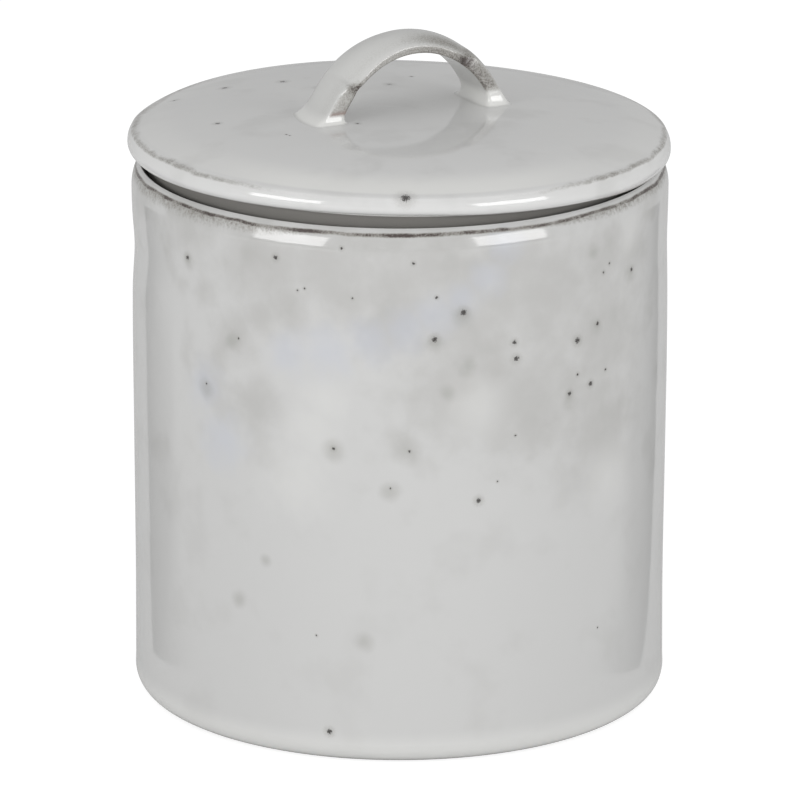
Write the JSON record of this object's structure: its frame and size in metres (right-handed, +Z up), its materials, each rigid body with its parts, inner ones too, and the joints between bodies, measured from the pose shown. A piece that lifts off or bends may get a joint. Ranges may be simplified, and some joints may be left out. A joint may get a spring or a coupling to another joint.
{
  "type": "lidded stoneware jar",
  "caption": "Straight-sided glazed stoneware jar with a lift-off domed lid that seats on a ledge inside the rim and has a flat strap handle.",
  "frame": {"origin": "on the jar's axis, in the plane that its foot stands on", "axes": "+Z up along the jar's axis; the handle's arch runs along X, so a finger passes under it along Y"},
  "size_m": [0.1248, 0.1248, 0.1563],
  "materials": {
    "jar_glaze": "glossy white-grey glaze with small iron specks and a brown break along the rim",
    "lid_glaze": "smooth glossy grey-white glaze",
    "handle_glaze": "glossy glaze that breaks grey along the strap's edges"
  },
  "bodies": {
    "jar": {"jar": "jar_glaze"},
    "lid": {"lid": "lid_glaze", "handle": "handle_glaze"}
  },
  "joints": [
    {"name": "lid_lift", "type": "slide", "parent": "jar", "child": "lid", "axis": [0, 0, 1], "range_m": [0, 0.06]}
  ]
}
